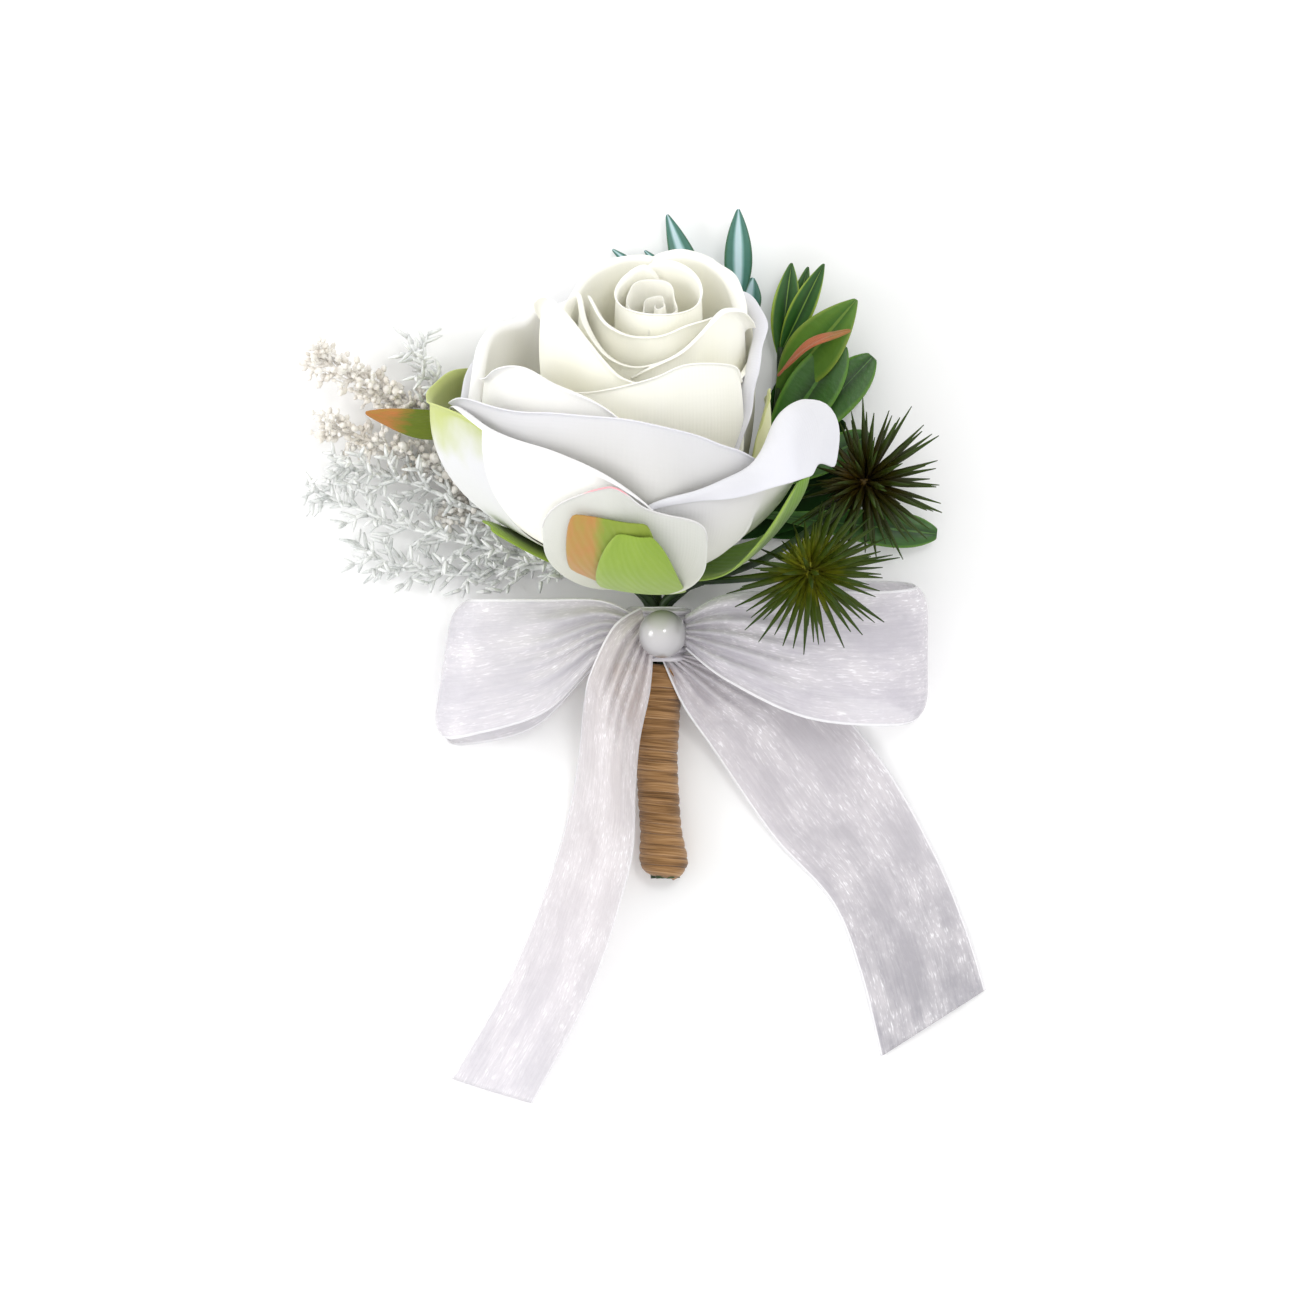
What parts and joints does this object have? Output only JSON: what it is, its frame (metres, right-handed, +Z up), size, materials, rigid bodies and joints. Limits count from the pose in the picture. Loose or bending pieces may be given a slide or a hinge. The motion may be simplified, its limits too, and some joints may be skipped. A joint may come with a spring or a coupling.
{
  "type": "boutonniere",
  "caption": "Lapel flower lying on its back: a white fabric rose with leaves, needle picks and frosted sprays, an organza bow with a pearl, and a twine-wrapped stem.",
  "frame": {"origin": "on the surface that the boutonniere lies on, in the middle of its footprint", "axes": "+Z up out of that surface, +Y along the handle towards the flower, +X to the right as seen from above with the flower at the top"},
  "size_m": [0.1154, 0.1494, 0.061],
  "materials": {
    "petal_fabric": "matt white woven fabric",
    "sepal_fabric": "lime green fabric with an orange-brown tinge",
    "stem_plastic": "matt dark green",
    "printed_leaf": "olive green with an orange tip",
    "blue_green_leaf": "satin blue-green",
    "green_leaf": "satin mid green",
    "needle_plastic": "satin dark green with yellow-green tips",
    "frosted_plastic": "matt silver-white frosting",
    "cream_plastic": "matt beige-white frosting",
    "floral_tape": "waxy dark green",
    "jute_twine": "matt natural tan",
    "organza": "sheer white with a light sparkle",
    "pearl_coat": "pearlescent white"
  },
  "bodies": {
    "root": {"rose_bloom": "petal_fabric", "calyx": "sepal_fabric", "rose_stem": "stem_plastic", "rose_leaf": "printed_leaf", "top_sprig": "blue_green_leaf", "green_sprig": "green_leaf", "needle_pick": "needle_plastic", "silver_spray": "frosted_plastic", "cream_spray": "cream_plastic", "floral_tape": "floral_tape", "jute_wrap": "jute_twine", "ribbon_knot": "organza", "ribbon_loop_left": "organza", "ribbon_loop_right": "organza", "ribbon_tail_left": "organza", "ribbon_tail_right": "organza", "pearl": "pearl_coat"}
  },
  "joints": []
}
